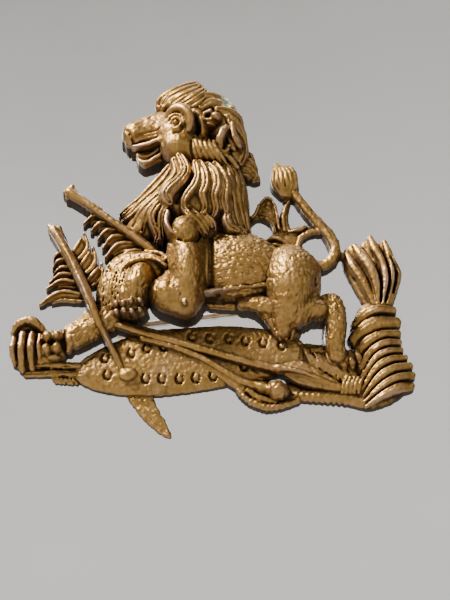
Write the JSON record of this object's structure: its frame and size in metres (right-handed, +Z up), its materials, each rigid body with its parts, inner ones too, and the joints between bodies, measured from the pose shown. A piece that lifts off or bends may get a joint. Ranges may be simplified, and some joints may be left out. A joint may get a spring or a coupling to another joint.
{
  "type": "cap badge",
  "caption": "Pierced cap badge with a flat back, a cast relief of a lion over a trophy of shield, arrows and plume, and a hinged brooch pin behind",
  "frame": {"origin": "on the flat back, behind the middle of the lion's body", "axes": "+X to the right as the front is seen, +Z up as worn, +Y out of the back, so the front faces -Y"},
  "size_m": [0.0549, 0.0133, 0.0517],
  "materials": {
    "gilt_casting": "worn gilt over bronze, dark in the recesses, rubbed on the high points",
    "bracket_brass": "dull sheet brass",
    "pin_steel": "tarnished wire",
    "solder": "dull soft solder"
  },
  "bodies": {
    "badge": {"shield": "gilt_casting", "lion_ear": "gilt_casting", "lion_forelock": "gilt_casting", "lion_head": "gilt_casting", "lion_lower_jaw": "gilt_casting", "near_foreleg": "gilt_casting", "near_forepaw": "gilt_casting", "near_haunch": "gilt_casting", "chest_arrow": "gilt_casting", "mane_locks": "gilt_casting", "mane_crest": "gilt_casting", "mane_back_tuft": "gilt_casting", "crossing_arrow": "gilt_casting", "chest_arrow_flights": "gilt_casting", "near_hind_shank": "gilt_casting", "far_hind_knee": "gilt_casting", "lion_body": "gilt_casting", "belly_fringe": "gilt_casting", "far_hind_foot": "gilt_casting", "near_hind_paw": "gilt_casting", "far_upper_arm": "gilt_casting", "far_forepaw": "gilt_casting", "far_foreleg": "gilt_casting", "crossing_arrow_flights": "gilt_casting", "tail": "gilt_casting", "tail_tuft": "gilt_casting", "leaf_spray": "gilt_casting", "long_spear": "gilt_casting", "knobbed_club": "gilt_casting", "wrapped_stem": "gilt_casting", "plume": "gilt_casting", "tail_tie_bar": "gilt_casting", "twisted_band": "gilt_casting", "fur_strip": "gilt_casting", "ground_bowl": "gilt_casting", "shield_stick": "gilt_casting", "point_below_shield": "gilt_casting", "hinge_bracket": "bracket_brass", "hinge_rivet": "pin_steel", "pin_catch": "bracket_brass", "solder_pads": "solder"},
    "pin": {"brooch_pin": "pin_steel"}
  },
  "joints": [
    {"name": "pin_hinge", "type": "hinge", "parent": "badge", "child": "pin", "pos_m": [0.0119, 0.0032, -0.00608], "axis": [0.1305, 0, -0.9914], "range_deg": [0, 110]}
  ]
}
